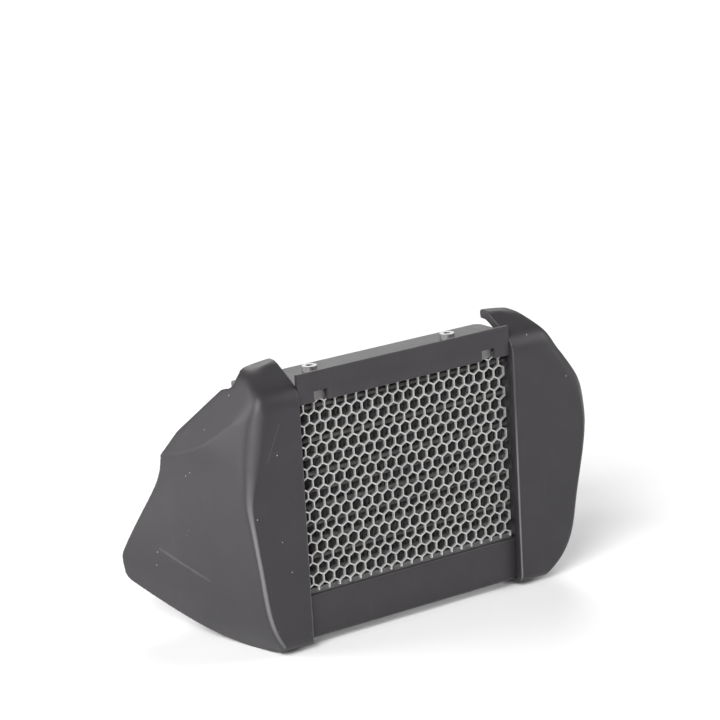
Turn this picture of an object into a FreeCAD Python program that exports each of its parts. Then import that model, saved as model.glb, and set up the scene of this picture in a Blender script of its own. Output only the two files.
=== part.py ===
"""Oil cooler guard of a motorcycle: two moulded side covers, an upper and a lower bar and a
honeycomb stone guard, fitted round the finned oil cooler that carries them.

Millimetres. +X is to the right seen from the front, +Y goes back, +Z is up. While it is drawn, the
honeycomb's front face lies in Y = 0 with its middle cell at X = Z = 0. The finished solids are moved
so that the origin lies midway between the two frame bolts, on the rear end of their sleeves.
"""
import FreeCAD, Part
import math
import os

Vector = FreeCAD.Vector

# Honeycomb stone guard: hexagonal perforated sheet, 6 mm cells on a 6.7 mm pitch
cell_pitch = 6.7
cell_web = 0.8
mesh_thickness = 1.2
mesh_rows = 17
mesh_short_row_cells = 19
mesh_stub = 2.2

# Gaps round the honeycomb: to the covers, to the lower bar, and its lap behind the upper bar
window_gap = 1.6
lower_bar_gap = 1.5
upper_bar_lap = 3.0

# Side covers: moulded shells
cover_wall = 2.5
cover_proud = 6.0
cover_flange_depth = 5.0
cover_depth = 100.0
cover_rise = 14.0
cover_drop = 0.9
inner_edge_radius = 1.5
toe_radius = 5.0
heel_y = 31.4
heel_drop = 6.3
heel_radius = 100.0
brow_drop = 13.3
brow_run = 21.4
brow_radius = 13.0
shoulder_run = 20.0
shoulder_drop = 2.6
shoulder_radius = 10.0
shoulder_spread = 16.0
rib_thickness = 1.6
rib_depth = 8.0
rib_heights = (-46.0, -8.0, 42.0)
boss_radius = 5.0
boss_heights = (-30.0, 22.0)

# Bars above and below the honeycomb
bar_wall = 2.2
bar_flange = 2.5
bar_edge_radius = 0.6
bar_inner_radius = 1.0
bar_corner_radius = 2.0
bar_depth = 34.0
bar_rib_thickness = 2.0
bar_rib_spacing = 28.0
bar_screw_from_middle = 45.0
bar_screw_y = 20.0
lower_bar_height = 24.0
lower_bar_tuck = 6.0
lower_bar_lip = 12.0
lower_bar_rib = 14.0
upper_bar_rise = 9.0
upper_bar_rib = 8.0

# Spring clips that press the honeycomb on the core
clip_width = 8.0
clip_thickness = 0.8
clip_bend = 0.8
clip_from_cover = 14.5
clip_reach = 7.0
clip_leg = 10.0
notch_height = 6.0

# Oil cooler core
core_gap = 0.4
core_depth = 40.0
core_rise = 4.5
side_plate = 3.0
tube_count = 11
tube_height = 2.4
tube_nose_radius = 1.0
fin_setback = 1.2
tank_width = 13.4
tank_setback = 3.0
tank_corner_radius = 4.0

# Oil ports at the back of the right tank
port_radius = 8.0
port_bore_radius = 6.2
port_length = 16.0
port_bore_depth = 14.0
port_heights = (-32.0, 34.0)

# Folded steel brackets between the tanks, the covers and the frame
bracket_sheet = 2.5
bracket_bend = 1.5
bracket_bottom = -38.0
bracket_top = 30.0
bracket_boss_setback = 10.8
bracket_web_inset = 3.2
bracket_ear_stand = 6.8
bracket_ear_half_height = 16.0
bracket_ear_margin = 1.5

# Frame mounting: rubber grommets with steel sleeves for 6 mm bolts
frame_bolt_height = 0.0
sleeve_bore_radius = 3.3
sleeve_wall = 1.0
sleeve_length = 9.5
grommet_neck_radius = 6.5
grommet_flange_radius = 8.3
grommet_flange = 3.0

# Fasteners
cover_screw_radius = 1.85
cover_screw_bite = 9.0
cover_screw_hole_radius = 2.6
cover_pilot_spare = 1.0
tank_screw_radius = 3.0
tank_screw_bite = 8.0
tank_screw_heights = (-24.0, 20.0)
tank_screw_inset = 8.0
bar_screw_radius = 2.0
bar_screw_bite = 2.6
head_ratio = 2.0
head_height = 3.0
drive_ratio = 0.9
drive_depth = 1.8
washer_ratio = 2.3
washer_height = 1.0

# Clearances
clearance = 0.3
thread_clearance = 0.05

# Places that follow from the honeycomb, from the middle outwards
row_rise = cell_pitch * math.sqrt(3) / 2
honeycomb_half_width = (mesh_short_row_cells + 1) / 2 * cell_pitch + cell_web / 2
honeycomb_half_height = (mesh_rows - 1) / 2 * row_rise + cell_pitch / math.sqrt(3) + mesh_stub
window_half_width = honeycomb_half_width + window_gap
core_half_width = window_half_width - core_gap
tank_outer = core_half_width + tank_width
clip_from_middle = window_half_width - clip_from_cover
bracket_reach = tank_outer + bracket_sheet + bracket_bend + clearance
boss_from_middle = bracket_reach + boss_radius
frame_bolt_from_middle = bracket_reach + grommet_flange_radius

# Heights that follow from the honeycomb
core_top = honeycomb_half_height + core_rise
core_bottom = -(honeycomb_half_height + lower_bar_gap)
upper_bar_bottom = honeycomb_half_height - upper_bar_lap
upper_bar_top = core_top + upper_bar_rise
lower_bar_top = core_bottom
lower_bar_bottom = lower_bar_top - lower_bar_height
cover_bottom = lower_bar_bottom - cover_drop
cover_top = core_top + cover_rise

# Depths that follow from the honeycomb
core_front = mesh_thickness
core_back = core_front + core_depth
tank_front = core_front + tank_setback
cover_front = -cover_proud
upper_bar_front = -(clip_thickness + clearance + bar_wall)
lower_bar_front = cover_front + cover_flange_depth + clearance
bracket_boss_y = core_front + bracket_boss_setback
bracket_web_back = core_back - bracket_web_inset
bracket_rear_y = core_back + bracket_ear_stand
tank_screw_y = bracket_web_back - tank_screw_inset
frame_bolt_y = bracket_rear_y - bracket_sheet / 2 + sleeve_length / 2
origin = Vector(0, frame_bolt_y, frame_bolt_height)

# Plan of the covers at rising heights: height, how far the corner between front and side lies
# outside the tank on the left and on the right, that corner's radius, and how far the side flares
# out for each millimetre that it goes back. The flare is least under the shoulder, where the side
# is hollowed for the frame tube, and the right cover is wider because it hides the oil ports.
cover_plan = (
    (core_bottom - 34.0, -1.0, -4.0, 5.0, 0.20),
    (core_bottom - 25.0, 4.8, 5.0, 5.0, 0.20),
    (core_bottom - 20.0, 7.8, 12.5, 4.0, 0.20),
    (core_bottom - 12.0, 11.4, 20.0, 3.5, 0.20),
    (-40.0, 16.4, 28.0, 3.2, 0.20),
    (-8.0, 21.0, 35.2, 3.5, 0.11),
    (5.0, 22.4, 37.2, 5.0, 0.08),
    (16.0, 21.2, 37.2, 8.0, 0.13),
    (26.0, 19.2, 35.0, 10.0, 0.20),
    (38.0, 17.0, 27.8, 11.0, 0.21),
    (core_top - 9.0, 15.4, 21.2, 11.0, 0.18),
    (core_top + 3.0, 13.8, 14.6, 10.0, 0.20),
    (core_top + 17.0, 12.0, 12.5, 8.0, 0.20),
)

# Back edge of the covers seen from the side, from the tail up to the roof: depth, height, radius
cover_back_edge = (
    (cover_depth, core_bottom - 2.3, 6.0),
    (cover_depth, core_bottom + 11.0, 8.0),
    (55.0, 32.5, 10.0),
    (29.0, core_top + 0.5, 5.0),
    (20.5, core_top + 2.5, 4.0),
    (22.0, cover_top, 2.0),
)


def rounded_wire(corners, place):
    """Closed wire through corners (a, b, radius), with tangent arcs, put in space by place(a, b)."""
    count = len(corners)
    starts, ends, middles = [], [], []
    for index, (a, b, radius) in enumerate(corners):
        before = corners[index - 1]
        after = corners[(index + 1) % count]
        point = Vector(a, b, 0)
        to_before = (Vector(before[0], before[1], 0) - point).normalize()
        to_after = (Vector(after[0], after[1], 0) - point).normalize()
        half = to_before.getAngle(to_after) / 2
        cut = radius / math.tan(half)
        starts.append(point + to_before * cut)
        ends.append(point + to_after * cut)
        inward = (to_before + to_after).normalize()
        middles.append(point + inward * (radius / math.sin(half) - radius))
    edges = []
    for index in range(count):
        if corners[index][2] > 0:
            arc_points = [place(p.x, p.y) for p in (starts[index], middles[index], ends[index])]
            edges.append(Part.Arc(*arc_points).toShape())
        here = ends[index]
        there = starts[(index + 1) % count]
        edges.append(Part.LineSegment(place(here.x, here.y), place(there.x, there.y)).toShape())
    return Part.Wire(edges)


def moved_in(corners, insets):
    """Corners of a counter-clockwise outline with each edge moved in by its own inset. The first
    inset is for the edge that leaves the first corner. A rounding shrinks by the larger of the
    insets on its two sides."""
    count = len(corners)
    edges = []
    for index, (a, b, radius) in enumerate(corners):
        after = corners[(index + 1) % count]
        along = Vector(after[0] - a, after[1] - b, 0).normalize()
        inward = Vector(-along.y, along.x, 0)
        edges.append((Vector(a, b, 0) + inward * insets[index], along))
    moved = []
    for index in range(count):
        start, along = edges[index - 1]
        other, across = edges[index]
        gap = other - start
        turn = along.x * across.y - along.y * across.x
        reach = (gap.x * across.y - gap.y * across.x) / turn
        point = start + along * reach
        inset = max(insets[index - 1], insets[index])
        moved.append((point.x, point.y, max(corners[index][2] - inset, 0)))
    return moved


def prism_x(corners, low, high):
    """Solid with the outline (y, z, radius) that runs along X."""
    wire = rounded_wire(corners, lambda y, z: Vector(low, y, z))
    return Part.Face(wire).extrude(Vector(high - low, 0, 0))


def prism_y(corners, low, high):
    """Solid with the outline (x, z, radius) that runs along Y."""
    wire = rounded_wire(corners, lambda x, z: Vector(x, low, z))
    return Part.Face(wire).extrude(Vector(0, high - low, 0))


def prism_z(corners, low, high):
    """Solid with the outline (x, y, radius) that runs along Z."""
    wire = rounded_wire(corners, lambda x, y: Vector(x, y, low))
    return Part.Face(wire).extrude(Vector(0, 0, high - low))


def box(x, y, z):
    """Box between the (low, high) pairs x, y and z."""
    return Part.makeBox(x[1] - x[0], y[1] - y[0], z[1] - z[0], Vector(x[0], y[0], z[0]))


def rod(radius, start, along):
    """Cylinder from the point start, as long as the vector along."""
    return Part.makeCylinder(radius, along.Length, start, along)


def ring(outer, inner, start, along):
    """Tube from the point start, as long as the vector along."""
    return rod(outer, start, along).cut(rod(inner, start, along))


def on_side(side, shape):
    """Shape drawn for the right-hand side (+1), mirrored for the left-hand side (-1)."""
    if side > 0:
        return shape
    return shape.mirror(Vector(0, 0, 0), Vector(1, 0, 0))


def join(shapes):
    """One solid out of shapes that touch."""
    return shapes[0].multiFuse(shapes[1:]).removeSplitter()


def cover_corner(side, row):
    """Distance from the middle plane to a cover's front corner in one row of its plan."""
    return tank_outer + (row[2] if side > 0 else row[1])


def cover_block(side, inset):
    """The covers' plan lofted upwards, with every wall moved in by inset. Drawn on the right."""
    inner_edge = window_half_width + inset
    front = cover_front + inset
    back = cover_depth + cover_proud
    edge_radius = max(inner_edge_radius - inset, 0)
    wires = []
    for row in cover_plan:
        height, left, right, radius, flare = row
        corner = cover_corner(side, row) + inset * flare - inset * math.hypot(1, flare)
        outline = (
            (inner_edge, front, edge_radius),
            (corner, front, max(radius - inset, cover_wall / 4)),
            (corner + (back - front) * flare, back, 0),
            (inner_edge, back, 0),
        )
        wires.append(rounded_wire(outline, lambda x, y: Vector(x, y, height)))
    return Part.makeLoft(wires, True, False)


def cover_floor():
    """Corners under a cover seen from the side: the toe in front and the heel."""
    heel = (heel_y, cover_bottom - heel_drop, heel_radius)
    return (cover_front, cover_bottom, toe_radius), heel


def cover_brow():
    """Corners at the top of a cover seen from the side: the roof's front end and the brow's foot."""
    roof = (cover_front + brow_run, cover_top, brow_radius)
    return roof, (cover_front, cover_top - brow_drop, brow_radius)


def cavity_outline(floor, inset):
    """Outline of a cover's inside seen from the side: open to the back, with the bottom moved in by
    floor and the front and top by inset."""
    toe, heel = cover_floor()
    tail = cover_back_edge[0]
    slope = (tail[1] - heel[1]) / (tail[0] - heel[0])
    far = cover_depth * 2
    runout = (far, heel[1] + slope * (far - heel[0]), 0)
    corners = (toe, heel, runout, (far, cover_top, 0)) + cover_brow()
    return moved_in(corners, (floor, floor, 0, inset, inset, inset))


def shoulder_outline(side, inset):
    """Outline of a cover seen from the front, drawn on the right: its roof falls a little outwards
    and ends in a round shoulder."""
    ridge = max(cover_plan, key=lambda row: row[1])
    foot = max(cover_corner(side, row) for row in cover_plan) + shoulder_spread
    far = tank_outer + cover_depth
    low = cover_bottom - cover_depth
    corners = (
        (window_half_width, low, 0),
        (far, low, 0),
        (far, ridge[0], 0),
        (foot, ridge[0], 0),
        (window_half_width + shoulder_run, cover_top - shoulder_drop, shoulder_radius),
        (window_half_width, cover_top, 0),
    )
    return moved_in(corners, [inset] * len(corners))


def cover_form(side, inset, outline):
    """Block of a cover's outer skin, or of its cavity when it is inset, with the given side view."""
    width = (0, tank_outer + cover_depth)
    depth = (-cover_depth, 2 * cover_depth)
    form = cover_block(side, inset)
    form = form.common(prism_x(outline, *width))
    return form.common(prism_y(shoulder_outline(side, inset), *depth))


def cover_stiffeners(side):
    """Ribs across the inside of a cover's front wall, and its two screw bosses."""
    skin = cover_front + cover_wall / 2
    across = (window_half_width, tank_outer + cover_depth)
    depth = (cover_front, cover_front + rib_depth)
    ribs = []
    for z in rib_heights:
        ribs.append(box(across, depth, (z - rib_thickness / 2, z + rib_thickness / 2)))
    bosses = []
    for z in boss_heights:
        foot = Vector(boss_from_middle, skin, z)
        bosses.append(rod(boss_radius, foot, Vector(0, bracket_boss_y - skin, 0)))
    room = cover_form(side, cover_wall / 2, cavity_outline(cover_wall / 2, cover_wall / 2))
    return [shape.common(room) for shape in ribs + bosses]


def cover(side):
    """Moulded side cover: an open-backed shell with a return flange beside the window, ribs and two
    screw bosses behind its front wall."""
    skin_outline = cover_floor() + cover_back_edge + cover_brow()
    shell = cover_form(side, 0, skin_outline)
    shell = shell.cut(cover_form(side, cover_wall, cavity_outline(cover_wall, cover_wall)))
    mouth = cavity_outline(cover_wall, cover_flange_depth)
    shell = shell.cut(prism_x(mouth, 0, window_half_width + cover_wall))
    shell = shell.multiFuse(cover_stiffeners(side))
    pilot_depth = cover_screw_bite + cover_pilot_spare
    for z in boss_heights:
        start = Vector(boss_from_middle, bracket_boss_y - pilot_depth, z)
        shell = shell.cut(rod(cover_screw_radius + thread_clearance, start, Vector(0, pilot_depth, 0)))
    return on_side(side, shell.removeSplitter())


def bar_ribs(corners):
    """Gusset with the three corners (y, z) given, repeated along a bar."""
    outline = [(y, z, 0) for y, z in corners]
    half = bar_rib_thickness / 2
    middles = (-bar_rib_spacing, 0, bar_rib_spacing)
    return [prism_x(outline, x - half, x + half) for x in middles]


def bar_screw_holes(low):
    """Tools for the two clearance holes in a bar's flange, whose underside is at the height low."""
    radius = bar_screw_radius + clearance
    places = (-bar_screw_from_middle, bar_screw_from_middle)
    return [rod(radius, Vector(x, bar_screw_y, low), Vector(0, 0, bar_flange)) for x in places]


def lower_bar_outline(bottom):
    """Section of the lower bar: a front wall with a lip below and a flange under the core."""
    front = lower_bar_front
    under = lower_bar_top - bar_flange
    return (
        (front, bottom, bar_corner_radius),
        (front + lower_bar_lip, bottom, 0),
        (front + lower_bar_lip, bottom + bar_flange, 0),
        (front + bar_wall, bottom + bar_flange, bar_inner_radius),
        (front + bar_wall, under, bar_inner_radius),
        (front + bar_depth, under, 0),
        (front + bar_depth, lower_bar_top, 0),
        (front, lower_bar_top, bar_inner_radius),
    )


def lower_bar():
    """Moulded channel under the honeycomb. Its shallower ends tuck in behind the covers' flanges and
    over their floors."""
    half = window_half_width - clearance
    end = window_half_width + lower_bar_tuck
    tongue = lower_bar_outline(cover_bottom + cover_wall + clearance)
    wall = lower_bar_front + bar_wall
    under = lower_bar_top - bar_flange
    gusset = ((wall, under), (wall, under - lower_bar_rib), (wall + lower_bar_rib, under))
    bar = join([
        prism_x(lower_bar_outline(lower_bar_bottom), -half, half),
        prism_x(tongue, -end, -half),
        prism_x(tongue, half, end),
        *bar_ribs(gusset),
    ])
    return bar.cut(bar_screw_holes(under))


def upper_bar():
    """Moulded angle over the honeycomb's top edge, notched for the two spring clips."""
    half = window_half_width - clearance
    front = upper_bar_front
    wall = front + bar_wall
    seat = core_top + bar_flange
    outline = (
        (front, upper_bar_bottom, bar_edge_radius),
        (wall, upper_bar_bottom, bar_edge_radius),
        (wall, core_top, 0),
        (front + bar_depth, core_top, 0),
        (front + bar_depth, seat, 0),
        (wall, seat, bar_inner_radius),
        (wall, upper_bar_top, bar_edge_radius),
        (front, upper_bar_top, bar_inner_radius),
    )
    gusset_top = upper_bar_top - bar_wall
    gusset = ((wall, seat), (wall + upper_bar_rib, seat), (wall, gusset_top))
    bar = join([prism_x(outline, -half, half), *bar_ribs(gusset)])
    for x in (-clip_from_middle, clip_from_middle):
        span = (x - clip_width / 2 - clearance, x + clip_width / 2 + clearance)
        bar = bar.cut(box(span, (front, wall), (upper_bar_bottom, upper_bar_bottom + notch_height)))
        bar = bar.cut(box(span, (wall, clip_leg + clearance), (core_top, core_top + clip_thickness)))
    return bar.cut(bar_screw_holes(core_top))


def hexagon(x, z, apothem):
    """Corners of an upright hexagon with a point at its top, starting there and going clockwise."""
    radius = apothem * 2 / math.sqrt(3)
    angles = [math.radians(90 - 60 * step) for step in range(6)]
    return [Vector(x + radius * math.cos(a), 0, z + radius * math.sin(a)) for a in angles]


def closed_polygon(corners):
    """Wire through the corners and back to the first."""
    return Part.makePolygon(corners + corners[:1])


def honeycomb():
    """Perforated sheet. Its raw edges run through the outermost cells, so those are open."""
    through = Vector(0, mesh_thickness, 0)
    signs = ((-1, -1), (1, -1), (1, 1), (-1, 1))
    blank = [Vector(x * honeycomb_half_width, 0, z * honeycomb_half_height) for x, z in signs]
    wires = [closed_polygon(blank)]
    edge_cells = []
    for row in range(-1, mesh_rows + 1):
        long_row = row % 2
        count = mesh_short_row_cells + (1 if long_row else 2)
        z = (row - (mesh_rows - 1) / 2) * row_rise
        for column in range(count):
            x = (column - (count - 1) / 2) * cell_pitch
            cell = closed_polygon(hexagon(x, z, (cell_pitch - cell_web) / 2))
            at_end = not long_row and column in (0, count - 1)
            if at_end or row in (-1, mesh_rows):
                edge_cells.append(Part.Face(cell).extrude(through))
            else:
                wires.append(cell)
    sheet = Part.Face(wires).extrude(through)
    return sheet.cut(edge_cells)


def honeycomb_clip(x):
    """Bent spring strip: a tab on the sheet's face and a leg on the core's top plate."""
    top = core_top + clip_thickness
    outline = (
        (-clip_thickness, core_top - clip_reach, 0),
        (0, core_top - clip_reach, 0),
        (0, core_top, clip_bend),
        (clip_leg, core_top, 0),
        (clip_leg, top, 0),
        (-clip_thickness, top, clip_bend + clip_thickness),
    )
    return prism_x(outline, x - clip_width / 2, x + clip_width / 2)


def core_layers():
    """Heights (low, high) of the fin layers and of the tubes between them."""
    low = core_bottom + side_plate
    high = core_top - side_plate
    fin_height = (high - low - tube_count * tube_height) / (tube_count + 1)
    fins, tubes = [], []
    for layer in range(tube_count + 1):
        base = low + layer * (fin_height + tube_height)
        fins.append((base, base + fin_height))
        if layer < tube_count:
            tubes.append((base + fin_height, base + fin_height + tube_height))
    return fins, tubes


def core_tube(low, high):
    """Flat oil tube with rounded noses."""
    nose = tube_nose_radius
    outline = (
        (core_front, low, nose),
        (core_back, low, nose),
        (core_back, high, nose),
        (core_front, high, nose),
    )
    return prism_x(outline, -core_half_width, core_half_width)


def core_fin(low, high):
    """Envelope of one folded fin strip, set back behind the tubes' noses."""
    width = (-core_half_width, core_half_width)
    return box(width, (core_front + fin_setback, core_back - fin_setback), (low, high))


def side_plate_solid(low, screw_z, screw_way):
    """Plate that closes the core at its top or bottom, with two tapped blind holes."""
    width = (-core_half_width, core_half_width)
    plate = box(width, (core_front, core_back), (low, low + side_plate))
    depth = bar_screw_bite + thread_clearance
    for x in (-bar_screw_from_middle, bar_screw_from_middle):
        start = Vector(x, bar_screw_y, screw_z)
        tapped = rod(bar_screw_radius + thread_clearance, start, Vector(0, 0, screw_way * depth))
        plate = plate.cut(tapped)
    return plate


def tank(side):
    """End tank of the core, with two tapped holes for the bracket."""
    outline = (
        (core_half_width, tank_front, 0),
        (tank_outer, tank_front, tank_corner_radius),
        (tank_outer, core_back, tank_corner_radius),
        (core_half_width, core_back, 0),
    )
    body = prism_z(outline, core_bottom, core_top)
    depth = tank_screw_bite + thread_clearance
    for height in tank_screw_heights:
        start = Vector(tank_outer, tank_screw_y, height)
        body = body.cut(rod(tank_screw_radius + thread_clearance, start, Vector(-depth, 0, 0)))
    return on_side(side, body)


def oil_port(height):
    """Round union on the back of the right tank, bored for a hose fitting."""
    start = Vector(core_half_width + tank_width / 2, core_back, height)
    body = rod(port_radius, start, Vector(0, port_length, 0))
    bore_start = start + Vector(0, port_length - port_bore_depth, 0)
    return body.cut(rod(port_bore_radius, bore_start, Vector(0, port_bore_depth, 0)))


def bracket_front():
    """Front half of a bracket: a flange for the cover's bosses, folded out from the web."""
    flange_end = boss_from_middle + boss_radius
    flange_back = bracket_boss_y + bracket_sheet
    web_out = tank_outer + bracket_sheet
    outline = (
        (tank_outer, bracket_boss_y, bracket_bend + bracket_sheet),
        (flange_end, bracket_boss_y, 0),
        (flange_end, flange_back, 0),
        (web_out, flange_back, bracket_bend),
        (web_out, bracket_web_back, 0),
        (tank_outer, bracket_web_back, 0),
    )
    return prism_z(outline, bracket_bottom, bracket_top)


def bracket_rear():
    """Rear half of a bracket: the web runs on behind the tank and folds out into an ear."""
    ear_end = frame_bolt_from_middle + grommet_neck_radius + bracket_ear_margin
    ear_front = bracket_rear_y - bracket_sheet
    web_out = tank_outer + bracket_sheet
    outline = (
        (tank_outer, tank_screw_y, 0),
        (web_out, tank_screw_y, 0),
        (web_out, ear_front, bracket_bend),
        (ear_end, ear_front, 0),
        (ear_end, bracket_rear_y, 0),
        (tank_outer, bracket_rear_y, bracket_bend + bracket_sheet),
    )
    low = frame_bolt_height - bracket_ear_half_height
    return prism_z(outline, low, frame_bolt_height + bracket_ear_half_height)


def bracket(side):
    """Folded steel bracket on a tank's outer face, with holes for the cover's screws, for the tank's
    screws and for the frame grommet."""
    through = Vector(0, bracket_sheet, 0)
    holes = []
    for z in boss_heights:
        holes.append(rod(cover_screw_hole_radius, Vector(boss_from_middle, bracket_boss_y, z), through))
    for z in tank_screw_heights:
        start = Vector(tank_outer, tank_screw_y, z)
        holes.append(rod(tank_screw_radius + clearance, start, Vector(bracket_sheet, 0, 0)))
    start = Vector(frame_bolt_from_middle, bracket_rear_y - bracket_sheet, frame_bolt_height)
    holes.append(rod(grommet_neck_radius, start, through))
    return on_side(side, join([bracket_front(), bracket_rear()]).cut(holes))


def frame_grommet(side):
    """Rubber grommet that sits in the bracket's ear by its neck."""
    start = Vector(frame_bolt_from_middle, bracket_rear_y - bracket_sheet, frame_bolt_height)
    neck_way = Vector(0, bracket_sheet, 0)
    flange_way = Vector(0, grommet_flange, 0)
    body = join([
        rod(grommet_flange_radius, start - flange_way, flange_way),
        rod(grommet_neck_radius, start, neck_way),
        rod(grommet_flange_radius, start + neck_way, flange_way),
    ])
    bore = rod(sleeve_bore_radius + sleeve_wall, start - flange_way, neck_way + flange_way * 2)
    return on_side(side, body.cut(bore))


def frame_sleeve(side):
    """Steel sleeve for the frame bolt, through the grommet."""
    start = Vector(frame_bolt_from_middle, frame_bolt_y - sleeve_length, frame_bolt_height)
    outer = sleeve_bore_radius + sleeve_wall
    return on_side(side, ring(outer, sleeve_bore_radius, start, Vector(0, sleeve_length, 0)))


def screw(radius, seat, way, length):
    """Round-headed screw: its head sits on seat and its shank goes the way given."""
    shank = rod(radius, seat, way * length)
    head = rod(radius * head_ratio, seat, way * -head_height)
    drive = rod(radius * drive_ratio, seat - way * head_height, way * drive_depth)
    return join([shank, head]).cut(drive)


def cover_fastener(side, height):
    """Screw and washer that pull a cover's boss on the bracket, put in from behind."""
    seat = Vector(boss_from_middle, bracket_boss_y + bracket_sheet, height)
    washer_way = Vector(0, washer_height, 0)
    washer = ring(cover_screw_radius * washer_ratio, cover_screw_hole_radius, seat, washer_way)
    length = washer_height + bracket_sheet + cover_screw_bite
    bolt = screw(cover_screw_radius, seat + washer_way, Vector(0, -1, 0), length)
    return on_side(side, bolt), on_side(side, washer)


def tank_fastener(side, height):
    """Screw and washer that hold a bracket on its tank."""
    seat = Vector(tank_outer + bracket_sheet, tank_screw_y, height)
    washer_way = Vector(washer_height, 0, 0)
    hole = tank_screw_radius + clearance
    washer = ring(tank_screw_radius * washer_ratio, hole, seat, washer_way)
    length = washer_height + bracket_sheet + tank_screw_bite
    bolt = screw(tank_screw_radius, seat + washer_way, Vector(-1, 0, 0), length)
    return on_side(side, bolt), on_side(side, washer)


def bar_fasteners():
    """Screws that hold both bars on the core's plates, from below and from above."""
    length = bar_flange + bar_screw_bite
    screws = []
    for x in (-bar_screw_from_middle, bar_screw_from_middle):
        under = Vector(x, bar_screw_y, lower_bar_top - bar_flange)
        over = Vector(x, bar_screw_y, core_top + bar_flange)
        screws.append(screw(bar_screw_radius, under, Vector(0, 0, 1), length))
        screws.append(screw(bar_screw_radius, over, Vector(0, 0, -1), length))
    return screws


def parts():
    """Every node by name, each a list of solids."""
    fins, tubes = core_layers()
    sides = (-1, 1)
    cover_set = [cover_fastener(side, z) for side in sides for z in boss_heights]
    tank_set = [tank_fastener(side, z) for side in sides for z in tank_screw_heights]
    return {
        "left_cover": [cover(-1)],
        "right_cover": [cover(1)],
        "lower_bar": [lower_bar()],
        "upper_bar": [upper_bar()],
        "honeycomb": [honeycomb()],
        "honeycomb_clips": [honeycomb_clip(side * clip_from_middle) for side in sides],
        "core_tubes": [core_tube(*tube) for tube in tubes],
        "core_fins": [core_fin(*fin) for fin in fins],
        "left_tank": [tank(-1)],
        "right_tank": [tank(1)],
        "top_plate": [side_plate_solid(core_top - side_plate, core_top, -1)],
        "bottom_plate": [side_plate_solid(core_bottom, core_bottom, 1)],
        "oil_ports": [oil_port(z) for z in port_heights],
        "left_bracket": [bracket(-1)],
        "right_bracket": [bracket(1)],
        "frame_grommets": [frame_grommet(side) for side in sides],
        "frame_sleeves": [frame_sleeve(side) for side in sides],
        "cover_screws": [bolt for bolt, washer in cover_set],
        "cover_washers": [washer for bolt, washer in cover_set],
        "tank_screws": [bolt for bolt, washer in tank_set],
        "tank_washers": [washer for bolt, washer in tank_set],
        "bar_screws": bar_fasteners(),
    }


os.makedirs("parts", exist_ok=True)
for name, solids in parts().items():
    shape = solids[0] if len(solids) == 1 else Part.makeCompound(solids)
    shape.translate(-origin)
    shape.exportStep(f"parts/{name}.step")
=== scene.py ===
import math

import bpy
from mathutils import Matrix, Vector


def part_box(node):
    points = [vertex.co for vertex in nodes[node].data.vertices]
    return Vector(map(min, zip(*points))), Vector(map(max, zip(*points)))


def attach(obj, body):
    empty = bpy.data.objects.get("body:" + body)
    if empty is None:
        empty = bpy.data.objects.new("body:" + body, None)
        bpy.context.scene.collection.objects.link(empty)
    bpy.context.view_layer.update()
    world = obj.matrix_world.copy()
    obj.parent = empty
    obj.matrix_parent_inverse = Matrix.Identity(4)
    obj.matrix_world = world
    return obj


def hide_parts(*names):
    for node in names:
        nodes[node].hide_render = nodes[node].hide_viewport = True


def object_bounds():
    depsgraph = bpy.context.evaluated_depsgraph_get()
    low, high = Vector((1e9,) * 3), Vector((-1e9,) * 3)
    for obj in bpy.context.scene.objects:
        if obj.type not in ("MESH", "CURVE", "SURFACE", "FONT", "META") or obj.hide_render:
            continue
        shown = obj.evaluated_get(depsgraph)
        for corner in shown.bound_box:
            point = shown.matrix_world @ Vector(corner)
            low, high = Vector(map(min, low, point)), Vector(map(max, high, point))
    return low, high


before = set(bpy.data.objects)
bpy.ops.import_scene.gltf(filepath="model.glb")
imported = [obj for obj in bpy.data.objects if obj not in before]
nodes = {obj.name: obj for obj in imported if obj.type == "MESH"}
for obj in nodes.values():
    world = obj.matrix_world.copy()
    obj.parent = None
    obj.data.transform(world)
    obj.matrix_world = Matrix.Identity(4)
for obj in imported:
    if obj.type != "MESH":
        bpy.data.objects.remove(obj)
cad_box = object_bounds()
scene = bpy.context.scene
MM = 0.001

# Camera: found from the honeycomb's even cells in the photograph, angles in degrees
CAMERA_PLACE = Vector((-884.4, -1284.54, 463.8)) * MM
CAMERA_TURN = 34.826
CAMERA_DOWN = 14.861
CAMERA_ROLL = -3.163
CAMERA_LENS = 150.0
CAMERA_SENSOR = 36.0
CAMERA_FAR = 50.0

# Folded fin strips between the core's tubes
FIN_PITCH = 1.35 * MM
FIN_SHEET = 0.16 * MM

# Marks on the left cover, each a start, an end and a width: a pale rub across the side and a
# scratch in front
SIDE_RUB = (Vector((-113.6, 18.0, -33.9)) * MM, Vector((-106.4, -17.3, -44.8)) * MM, 1.1 * MM)
FRONT_SCRATCH = (Vector((-83.0, -57.5, 43.8)) * MM, Vector((-91.4, -57.5, 25.0)) * MM, 0.35 * MM)

# Middle of the rounded corner between a cover's front and its side, as a direction on the right,
# along which a highlight is painted into the colour, the heights between which that painted
# highlight fades, as the corner grows broad there, and what is left of it
CORNER_WAY = Vector((0.64, -0.766, -0.06)).normalized()
PAINTED_HIGHLIGHT_LOW = -10.0 * MM
PAINTED_HIGHLIGHT_HIGH = 22.0 * MM
PAINTED_HIGHLIGHT_LEFT = 0.22

# Line through the corner where brow, roof and side of a cover meet, on the right, how far from it
# the corner is rounded, in how many steps, and how fast the rounding fades with distance
BROW_START = Vector((90.5, -45.5, 65.0)) * MM
BROW_END = Vector((95.5, -53.5, 55.0)) * MM
BROW_REACH = 18.0 * MM
BROW_STEPS = 60
BROW_FADE = 2.0

# Size of the even mesh that the rounding needs, how often its grid is halved, and the wear of its edges
EVEN_MESH = 0.85 * MM
EVEN_DEPTH = 8
WEAR_SHARE = 0.5
WEAR_STEPS = 2

# Turn in degrees past which an edge is shown sharp, the turn past which one is broken, and by how much
SHARP_TURN = 32.0
BROKEN_TURN = 50.0
HONEYCOMB_BREAK = 0.12 * MM
CORE_BREAK = 0.5 * MM

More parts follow.
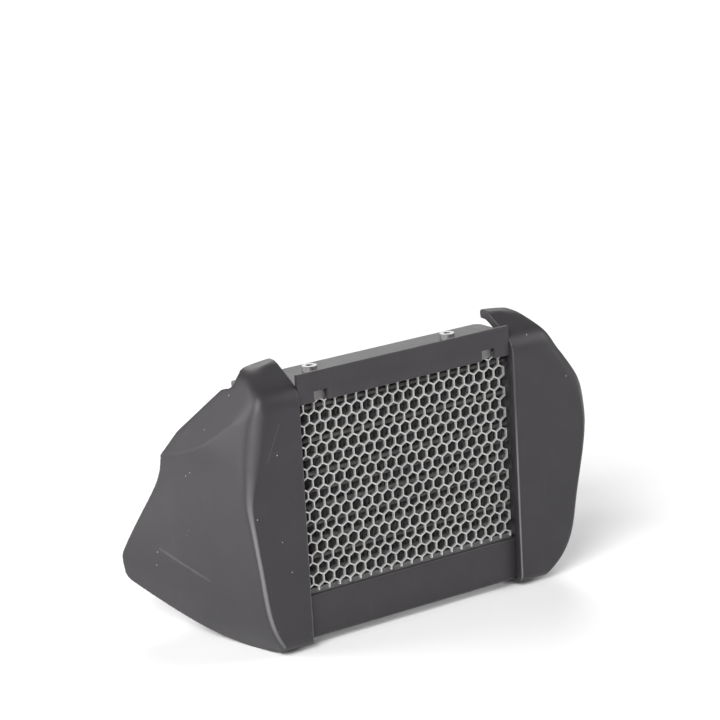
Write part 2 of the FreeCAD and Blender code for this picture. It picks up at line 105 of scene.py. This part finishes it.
# Share of red, green and blue in the black plastic
PLASTIC_TINT = (1.07, 0.95, 1.08)

# Moulded plastic: tones of its details as multiples of its own, how strongly haze and scratches show,
# what scratches and polish take from the roughness, and the greys of what lies on it
DRIFT_TONES = (0.82, 1.18)
HAZE_TONE = 2.2
RUBBED_TONE = 2.6
# Tone of the highlight painted along the front-to-side corner, as a multiple of the plastic's own
PAINTED_HIGHLIGHT_TONE = 9.0
MARK_TONE = 4.5
SCRATCH_TONE = 5.0
HAZE_SHARE = 0.16
SCRATCH_SHARE = 0.3
SCRATCH_GLOSS = -0.12
POLISH_GLOSS = -0.1
PLASTIC_DUST = 0.035
PLASTIC_SPECK = 0.45

# Sheet metal: the tone of its dirt as a multiple of the darker one, the tone of its edges as a
# multiple of the lighter one with the most that it may be, and how strongly edges show
DIRT_TONE = 0.35
EDGE_TONE = 1.25
EDGE_LIMIT = 0.95
EDGE_SHARE = 0.5

# Paint: its drift as multiples of its own tone, and the greys of dust and of worn edges
PAINT_DRIFT = (0.8, 1.25)
PAINT_DUST = 0.16
PAINT_WORN = 0.2

# Rubber: its greys, and the grey of its bloom with how strongly that shows
RUBBER_TONES = (0.012, 0.03)
RUBBER_BLOOM = 0.12
BLOOM_SHARE = 0.2

# Share of the reach of a mark or a spot that has its full strength, and of the limit by which cells
# are chosen for a spot
MARK_CORE = 0.2
SPOT_CORE = 0.5
CHOICE_CORE = 0.98

# Studio: the floor's reach, its gap under the covers and its greys, the world's light, and the
# lamps, each with its place, the point it looks at, its width and its power
FLOOR_REACH = 14.0
FLOOR_GAP = 0.4 * MM
FLOOR_TONES = (0.9, 0.93)
WORLD_LIGHT = 0.16
LAMPS = {
    "key": ((-1.35, -1.0, 1.0), (0, 0, 0), 1.2, 48),
    "left_back": ((-1.5, 0.8, 0.6), (0, 0, -0.05), 1.2, 22),
    "right_fill": ((1.5, -0.9, 0.8), (0, 0, 0), 1.2, 16),
    "far_floor": ((1.9, 2.9, 2.2), (1.9, 2.9, 0), 2.4, 115),
}


class Nodes:
    """Small helper that builds a node tree in metres of the object's own frame. Whoever makes one
    sets place, the output that gives a point's place."""

    def __init__(self, tree):
        self.tree = tree

    def node(self, kind, **values):
        made = self.tree.nodes.new(kind)
        for key, value in values.items():
            setattr(made, key, value)
        return made

    def join(self, source, target):
        self.tree.links.new(source, target)

    def put(self, value, socket):
        """A number, colour or output into a socket."""
        if isinstance(value, bpy.types.NodeSocket):
            self.join(value, socket)
        else:
            socket.default_value = value

    def step(self, value, low, high):
        """0 at low, 1 at high, clamped."""
        made = self.node("ShaderNodeMapRange")
        self.put(value, made.inputs["Value"])
        made.inputs["From Min"].default_value = low
        made.inputs["From Max"].default_value = high
        return made.outputs["Result"]

    def maths(self, operation, a, b):
        made = self.node("ShaderNodeMath", operation=operation)
        self.put(a, made.inputs[0])
        self.put(b, made.inputs[1])
        return made.outputs[0]

    def times(self, a, b):
        return self.maths("MULTIPLY", a, b)

    def unsigned(self, value):
        """A number without its sign."""
        return self.maths("ABSOLUTE", value, 0.0)

    def parts(self, vector):
        """A vector's three numbers."""
        made = self.node("ShaderNodeSeparateXYZ")
        self.join(vector, made.inputs["Vector"])
        return made.outputs

    def mark(self, start, end, width):
        """1 on a straight mark between two points, fading out at its sides and ends."""
        along = end - start
        offset = self.node("ShaderNodeVectorMath", operation="SUBTRACT")
        self.join(self.place, offset.inputs[0])
        offset.inputs[1].default_value = start
        run = self.node("ShaderNodeVectorMath", operation="DOT_PRODUCT")
        self.join(offset.outputs["Vector"], run.inputs[0])
        run.inputs[1].default_value = along / along.length_squared
        share = self.node("ShaderNodeClamp")
        self.join(run.outputs["Value"], share.inputs["Value"])
        nearest = self.node("ShaderNodeVectorMath", operation="SCALE")
        nearest.inputs[0].default_value = along
        self.join(share.outputs["Result"], nearest.inputs["Scale"])
        gap = self.node("ShaderNodeVectorMath", operation="DISTANCE")
        self.join(offset.outputs["Vector"], gap.inputs[0])
        self.join(nearest.outputs["Vector"], gap.inputs[1])
        return self.step(gap.outputs["Value"], low=width, high=width * MARK_CORE)


class Shader(Nodes):
    """A procedural material. The scale of a noise or of spots counts their repeats in a metre."""

    def __init__(self, name):
        self.material = bpy.data.materials.new(name)
        self.material.use_nodes = True
        super().__init__(self.material.node_tree)
        self.tree.nodes.clear()
        output = self.node("ShaderNodeOutputMaterial")
        self.surface = self.node("ShaderNodeBsdfPrincipled")
        self.join(self.surface.outputs["BSDF"], output.inputs["Surface"])
        self.place = self.node("ShaderNodeTexCoord").outputs["Object"]

    def stretched(self, scale, turn):
        """The place with a scale along each axis, turned by angles in degrees."""
        mapping = self.node("ShaderNodeMapping")
        mapping.inputs["Scale"].default_value = scale
        mapping.inputs["Rotation"].default_value = [math.radians(angle) for angle in turn]
        self.join(self.place, mapping.inputs["Vector"])
        return mapping.outputs["Vector"]

    def noise(self, scale, detail=3.0, rough=0.55, where=None):
        made = self.node("ShaderNodeTexNoise")
        made.inputs["Scale"].default_value = scale
        made.inputs["Detail"].default_value = detail
        made.inputs["Roughness"].default_value = rough
        self.join(where or self.place, made.inputs["Vector"])
        return made.outputs["Fac"]

    def spots(self, scale, size, share):
        """Small round spots: 1 inside a spot, on a share of the cells of a cell pattern."""
        cells = self.node("ShaderNodeTexVoronoi")
        cells.inputs["Scale"].default_value = scale
        self.join(self.place, cells.inputs["Vector"])
        near = self.step(cells.outputs["Distance"], low=size, high=size * SPOT_CORE)
        red = self.node("ShaderNodeSeparateColor")
        self.join(cells.outputs["Color"], red.inputs["Color"])
        chosen = self.step(red.outputs["Red"], low=share, high=share * CHOICE_CORE)
        return self.times(near, chosen)

    def spread(self, value, low, high):
        """A 0 to 1 value brought to the range low to high."""
        made = self.node("ShaderNodeMapRange")
        self.put(value, made.inputs["Value"])
        made.inputs["To Min"].default_value = low
        made.inputs["To Max"].default_value = high
        return made.outputs["Result"]

    def mix(self, share, a, b):
        """Colour a where share is 0, colour b where it is 1."""
        made = self.node("ShaderNodeMix", data_type="RGBA")
        self.put(share, made.inputs["Factor"])
        self.put(a, made.inputs["A"])
        self.put(b, made.inputs["B"])
        return made.outputs["Result"]

    def edges(self, low, high):
        """1 on convex edges, by how much the surface bulges."""
        return self.step(self.node("ShaderNodeNewGeometry").outputs["Pointiness"], low, high)

    def normal_parts(self):
        """The surface's direction as three numbers."""
        return self.parts(self.node("ShaderNodeNewGeometry").outputs["Normal"])

    def upward(self):
        """1 on faces that look up, where dust settles."""
        return self.step(self.normal_parts()["Z"], low=0.2, high=0.95)

    def corner(self, way, low, high):
        """1 where the surface looks along way or along its mirror image on the other side."""
        parts = self.normal_parts()
        outward = self.times(self.unsigned(parts["X"]), way.x)
        forward = self.times(parts["Y"], way.y)
        upward = self.times(parts["Z"], way.z)
        along = self.maths("ADD", outward, self.maths("ADD", forward, upward))
        return self.step(along, low, high)

    def bump(self, height, depth, strength, under=None):
        made = self.node("ShaderNodeBump")
        made.inputs["Strength"].default_value = strength
        made.inputs["Distance"].default_value = depth
        self.put(height, made.inputs["Height"])
        if under is not None:
            self.join(under, made.inputs["Normal"])
        return made.outputs["Normal"]

    def finish(self, colour, rough, metal=0.0, normal=None, specular=0.5):
        self.put(colour, self.surface.inputs["Base Color"])
        self.put(rough, self.surface.inputs["Roughness"])
        self.put(metal, self.surface.inputs["Metallic"])
        self.surface.inputs["Specular IOR Level"].default_value = specular
        if normal is not None:
            self.join(normal, self.surface.inputs["Normal"])
        return self.material


def grey(value, warm=0.0):
    return (value * (1 + warm), value, value * (1 - warm), 1.0)


def plastic(value):
    return tuple(value * share for share in PLASTIC_TINT) + (1.0,)


def moulded_plastic(name, level, marks=()):
    """Grained dark plastic with tone drift, a highlight painted along the front-to-side corners that
    are also glossier there, fine scratches and white dust specks.
    """
    s = Shader(name)
    dark, light = DRIFT_TONES
    drift = s.noise(scale=14.0, detail=4.0)
    colour = s.mix(drift, plastic(level * dark), plastic(level * light))
    haze = s.step(s.noise(scale=55.0, detail=5.0), low=0.5, high=0.75)
    colour = s.mix(s.times(haze, HAZE_SHARE), colour, plastic(level * HAZE_TONE))
    uneven = s.spread(s.noise(scale=90.0), low=0.1, high=0.35)
    rubbed = s.times(s.edges(low=0.52, high=0.60), uneven)
    colour = s.mix(rubbed, colour, plastic(level * RUBBED_TONE))
    # Painted highlight: the colour is lightened on the corner between front and side, less above the
    # given heights; the same mask makes that corner glossier
    corner_highlight_and_gloss = s.corner(CORNER_WAY, low=0.91, high=1.0)
    height = s.parts(s.place)["Z"]
    fading = s.spread(s.step(height, PAINTED_HIGHLIGHT_LOW, PAINTED_HIGHLIGHT_HIGH), low=1.0, high=PAINTED_HIGHLIGHT_LEFT)
    painted_highlight = s.times(s.times(corner_highlight_and_gloss, fading), s.spread(s.noise(scale=60.0), low=0.6, high=0.9))
    colour = s.mix(painted_highlight, colour, grey(level * PAINTED_HIGHLIGHT_TONE))
    for start, end, width in marks:
        fade = s.spread(s.noise(scale=420.0), low=0.1, high=0.75)
        rub = s.times(s.mark(start, end, width), fade)
        colour = s.mix(rub, colour, grey(level * MARK_TONE, warm=0.02))
    long_way = s.stretched(scale=(700.0, 700.0, 16.0), turn=(14, -9, 0))
    scratch = s.step(s.noise(scale=1.0, detail=2.0, rough=0.5, where=long_way), low=0.69, high=0.76)
    patch = s.step(s.noise(scale=26.0, detail=2.0), low=0.52, high=0.66)
    scratch = s.times(scratch, patch)
    colour = s.mix(s.times(scratch, SCRATCH_SHARE), colour, plastic(level * SCRATCH_TONE))
    dust = s.times(s.upward(), s.spread(s.noise(scale=40.0), low=0.05, high=0.3))
    colour = s.mix(dust, colour, grey(PLASTIC_DUST, warm=0.03))
    specks = s.spots(scale=210.0, size=0.085, share=0.10)
    colour = s.mix(specks, colour, grey(PLASTIC_SPECK, warm=0.03))
    rough = s.spread(s.noise(scale=70.0, detail=4.0), low=0.42, high=0.54)
    rough = s.maths("ADD", rough, s.times(scratch, SCRATCH_GLOSS))
    rough = s.maths("ADD", rough, s.times(corner_highlight_and_gloss, POLISH_GLOSS))
    grain = s.bump(s.noise(scale=1500.0, detail=2.0), depth=0.05 * MM, strength=0.5)
    normal = s.bump(s.noise(scale=18.0, detail=2.0), depth=0.4 * MM, strength=0.25, under=grain)
    return s.finish(colour, rough, normal=normal, specular=0.45)


def sheet_metal(name, tones, roughness, metal, soil):
    """Bare or plated metal with drift, dirt in patches and a fine brushed or blasted grain."""
    s = Shader(name)
    low, high = tones
    colour = s.mix(s.noise(scale=45.0, detail=4.0), grey(low, warm=0.01), grey(high, warm=0.015))
    dirt = s.step(s.noise(scale=130.0, detail=5.0), low=0.52, high=0.72)
    colour = s.mix(s.times(dirt, soil), colour, grey(low * DIRT_TONE, warm=0.06))
    bright = s.times(s.edges(low=0.52, high=0.6), EDGE_SHARE)
    colour = s.mix(bright, colour, grey(min(high * EDGE_TONE, EDGE_LIMIT)))
    rough = s.spread(s.noise(scale=210.0), *roughness)
    normal = s.bump(s.noise(scale=1200.0), depth=0.03 * MM, strength=0.5)
    return s.finish(colour, rough, metal, normal)


def painted(name, level, roughness, dusty=0.2, specular=0.5):
    """Satin black paint with dust and worn edges."""
    s = Shader(name)
    dark, light = PAINT_DRIFT
    drift = s.noise(scale=30.0, detail=4.0)
    colour = s.mix(drift, grey(level * dark), grey(level * light, warm=0.01))
    dust = s.step(s.noise(scale=85.0, detail=5.0), low=0.48, high=0.78)
    colour = s.mix(s.times(dust, dusty), colour, grey(PAINT_DUST, warm=0.08))
    worn = s.times(s.edges(low=0.53, high=0.62), s.spread(s.noise(scale=240.0), low=0.0, high=0.6))
    colour = s.mix(worn, colour, grey(PAINT_WORN, warm=0.01))
    rough = s.spread(s.noise(scale=120.0), *roughness)
    normal = s.bump(s.noise(scale=700.0), depth=0.06 * MM, strength=0.4)
    return s.finish(colour, rough, normal=normal, specular=specular)


def rubber(name):
    """Matte black rubber with a dusty bloom."""
    s = Shader(name)
    dark, light = RUBBER_TONES
    colour = s.mix(s.noise(scale=160.0, detail=4.0), grey(dark), grey(light))
    bloom = s.step(s.noise(scale=60.0, detail=4.0), low=0.5, high=0.8)
    colour = s.mix(s.times(bloom, BLOOM_SHARE), colour, grey(RUBBER_BLOOM, warm=0.04))
    rough = s.spread(s.noise(scale=200.0), low=0.7, high=0.9)
    normal = s.bump(s.noise(scale=900.0, detail=2.0), depth=0.08 * MM, strength=0.5)
    return s.finish(colour, rough, normal=normal, specular=0.3)


def dress(names, material):
    for name in names:
        mesh = nodes[name].data
        mesh.materials.clear()
        mesh.materials.append(material)
        mesh.shade_smooth()
        mesh.set_sharp_from_angle(angle=math.radians(SHARP_TURN))


def soften(names, width, segments=2):
    """Broken edges on carried-over nodes."""
    for name in names:
        bevel = nodes[name].modifiers.new("broken_edges", "BEVEL")
        bevel.width = width
        bevel.segments = segments
        bevel.limit_method = "ANGLE"
        bevel.angle_limit = math.radians(BROKEN_TURN)
        bevel.harden_normals = False


def vector_socket(sockets):
    """The first of a node's sockets that takes or gives a vector."""
    return next(socket for socket in sockets if socket.type == "VECTOR")


def brow_rounding():
    """Node tree that moves the points near a cover's brow corner to the mean of their neighbours, and
    keeps every point in the box of the solids."""
    tree = bpy.data.node_groups.new("brow_rounding", "GeometryNodeTree")
    for way in ("INPUT", "OUTPUT"):
        tree.interface.new_socket("Geometry", in_out=way, socket_type="NodeSocketGeometry")
    n = Nodes(tree)
    position = n.node("GeometryNodeInputPosition").outputs["Position"]
    parts = n.parts(position)
    on_right = n.node("ShaderNodeCombineXYZ")
    n.join(n.unsigned(parts["X"]), on_right.inputs["X"])
    n.join(parts["Y"], on_right.inputs["Y"])
    n.join(parts["Z"], on_right.inputs["Z"])
    n.place = on_right.outputs["Vector"]
    blur = n.node("GeometryNodeBlurAttribute", data_type="FLOAT_VECTOR")
    blur.inputs["Iterations"].default_value = BROW_STEPS
    n.join(position, vector_socket(blur.inputs))
    nearness = n.mark(BROW_START, BROW_END, BROW_REACH)
    n.join(n.maths("POWER", nearness, BROW_FADE), blur.inputs["Weight"])
    rounded = vector_socket(blur.outputs)
    for operation, limit in zip(("MAXIMUM", "MINIMUM"), cad_box):
        kept_in = n.node("ShaderNodeVectorMath", operation=operation)
        n.join(rounded, kept_in.inputs[0])
        kept_in.inputs[1].default_value = limit
        rounded = kept_in.outputs["Vector"]
    move = n.node("GeometryNodeSetPosition")
    n.join(n.node("NodeGroupInput").outputs["Geometry"], move.inputs["Geometry"])
    n.join(rounded, move.inputs["Position"])
    n.join(move.outputs["Geometry"], n.node("NodeGroupOutput").inputs["Geometry"])
    return tree


def cover_shells(names):
    """Covers that stand for the solid ones, of the same form but for slightly worn edges and a
    rounded corner where brow, roof and side meet. An even mesh gives the rounding its points."""
    tree = brow_rounding()
    for name in names:
        piece = bpy.data.objects.new(name + "_shell", nodes[name].data.copy())
        scene.collection.objects.link(piece)
        even = piece.modifiers.new("even_mesh", "REMESH")
        even.mode = "SHARP"
        even.octree_depth = EVEN_DEPTH
        even.scale = max(nodes[name].dimensions) / (EVEN_MESH * 2 ** EVEN_DEPTH)
        even.use_remove_disconnected = False
        even.use_smooth_shade = True
        worn = piece.modifiers.new("worn_edges", "SMOOTH")
        worn.factor = WEAR_SHARE
        worn.iterations = WEAR_STEPS
        piece.modifiers.new("brow_rounding", "NODES").node_group = tree
        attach(piece, "root")
        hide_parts(name)


def fin_strips(material):
    """Folded fin strips, one for each layer that the CAD fins fill."""
    low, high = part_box("core_fins")
    corners = sorted({round(v.co.z, 6) for v in nodes["core_fins"].data.vertices})
    layers = list(zip(corners[0::2], corners[1::2]))
    folds = int((high.x - low.x) / FIN_PITCH)
    step = (high.x - low.x) / folds
    half_sheet = FIN_SHEET / 2
    points, faces = [], []
    for floor, roof in layers:
        start = len(points)
        for fold in range(folds + 1):
            x = low.x + fold * step
            z = (roof - half_sheet) if fold % 2 else (floor + half_sheet)
            points += [(x, low.y, z), (x, high.y, z)]
        for fold in range(folds):
            a = start + 2 * fold
            faces.append((a, a + 2, a + 3, a + 1))
    mesh = bpy.data.meshes.new("fin_strips")
    mesh.from_pydata(points, [], faces)
    piece = bpy.data.objects.new("fin_strips", mesh)
    scene.collection.objects.link(piece)
    solid = piece.modifiers.new("sheet", "SOLIDIFY")
    solid.thickness = FIN_SHEET
    solid.offset = 0.0
    mesh.materials.append(material)
    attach(piece, "root")
    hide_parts("core_fins")


def aim_camera():
    data = bpy.data.cameras.new("camera")
    data.lens = CAMERA_LENS
    data.sensor_width = CAMERA_SENSOR
    data.clip_end = CAMERA_FAR
    camera = bpy.data.objects.new("camera", data)
    scene.collection.objects.link(camera)
    turn = math.radians(CAMERA_TURN)
    down = math.radians(CAMERA_DOWN)
    roll = math.radians(CAMERA_ROLL)
    ahead = Vector((math.sin(turn) * math.cos(down), math.cos(turn) * math.cos(down), -math.sin(down)))
    level = ahead.cross(Vector((0, 0, 1))).normalized()
    above = level.cross(ahead)
    right = level * math.cos(roll) + above * math.sin(roll)
    up = right.cross(ahead)
    turned = Matrix((right, up, -ahead)).transposed().to_4x4()
    camera.matrix_world = Matrix.Translation(CAMERA_PLACE) @ turned
    scene.camera = camera


def soft_light(name, place, target, size, power):
    data = bpy.data.lights.new(name, "AREA")
    data.shape = "DISK"
    data.size = size
    data.energy = power
    lamp = bpy.data.objects.new(name, data)
    scene.collection.objects.link(lamp)
    lamp.location = place
    lamp.rotation_euler = (Vector(target) - Vector(place)).to_track_quat("-Z", "Y").to_euler()


def pale_floor():
    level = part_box("left_cover")[0].z - FLOOR_GAP
    corners = [(-1, -1), (1, -1), (1, 1), (-1, 1)]
    mesh = bpy.data.meshes.new("floor")
    ring = [(FLOOR_REACH * x, FLOOR_REACH * y, level) for x, y in corners]
    mesh.from_pydata(ring, [], [(0, 1, 2, 3)])
    floor = bpy.data.objects.new("floor", mesh)
    scene.collection.objects.link(floor)
    s = Shader("pale_floor")
    dark, light = FLOOR_TONES
    colour = s.mix(s.noise(scale=3.0, detail=2.0), grey(dark), grey(light))
    mesh.materials.append(s.finish(colour, rough=0.7))


def studio():
    pale_floor()
    world = bpy.data.worlds.new("studio")
    scene.world = world
    world.use_nodes = True
    back = world.node_tree.nodes["Background"]
    back.inputs["Color"].default_value = grey(1.0)
    back.inputs["Strength"].default_value = WORLD_LIGHT
    for name, (place, target, size, power) in LAMPS.items():
        soft_light(name, place, target, size, power)


covers = ("left_cover", "right_cover")
bars = ("lower_bar", "upper_bar")
core = ("left_tank", "right_tank", "top_plate", "bottom_plate")
brackets = ("left_bracket", "right_bracket")
screws = ("cover_screws", "tank_screws", "bar_screws")
fasteners = ("frame_sleeves", "cover_washers", "tank_washers") + screws

cover_plastic = moulded_plastic("cover_plastic", level=0.02, marks=(SIDE_RUB, FRONT_SCRATCH))
bar_plastic = moulded_plastic("bar_plastic", level=0.018)
mesh_metal = sheet_metal("mesh_metal", tones=(0.38, 0.52), roughness=(0.36, 0.52), metal=0.6, soil=0.3)
clip_steel = sheet_metal("clip_steel", tones=(0.12, 0.2), roughness=(0.4, 0.55), metal=0.9, soil=0.3)
core_paint = painted("core_paint", level=0.028, roughness=(0.5, 0.7))
# The tubes take a much darker copy of the core paint, with little specular: painted shade that keeps
# their lit fronts behind the mesh from showing as bands
shaded_tube_paint = painted("shaded_tube_paint", level=0.006, roughness=(0.65, 0.85), dusty=0.05, specular=0.12)
port_metal = sheet_metal("port_metal", tones=(0.5, 0.62), roughness=(0.25, 0.4), metal=1.0, soil=0.2)
bracket_paint = painted("bracket_paint", level=0.025, roughness=(0.38, 0.55))
fastener_steel = sheet_metal(
    "fastener_steel", tones=(0.26, 0.36), roughness=(0.42, 0.58), metal=1.0, soil=0.45)

dress(covers, cover_plastic)
dress(bars, bar_plastic)
dress(("honeycomb",), mesh_metal)
dress(("honeycomb_clips",), clip_steel)
dress(core + ("core_fins",), core_paint)
dress(("core_tubes",), shaded_tube_paint)
dress(("oil_ports",), port_metal)
dress(brackets, bracket_paint)
dress(("frame_grommets",), rubber("grommet_rubber"))
dress(fasteners, fastener_steel)

cover_shells(covers)
soften(("honeycomb",), HONEYCOMB_BREAK, segments=1)
soften(brackets + core, CORE_BREAK)
fin_strips(core_paint)
aim_camera()
studio()
scene.view_settings.view_transform = "Standard"
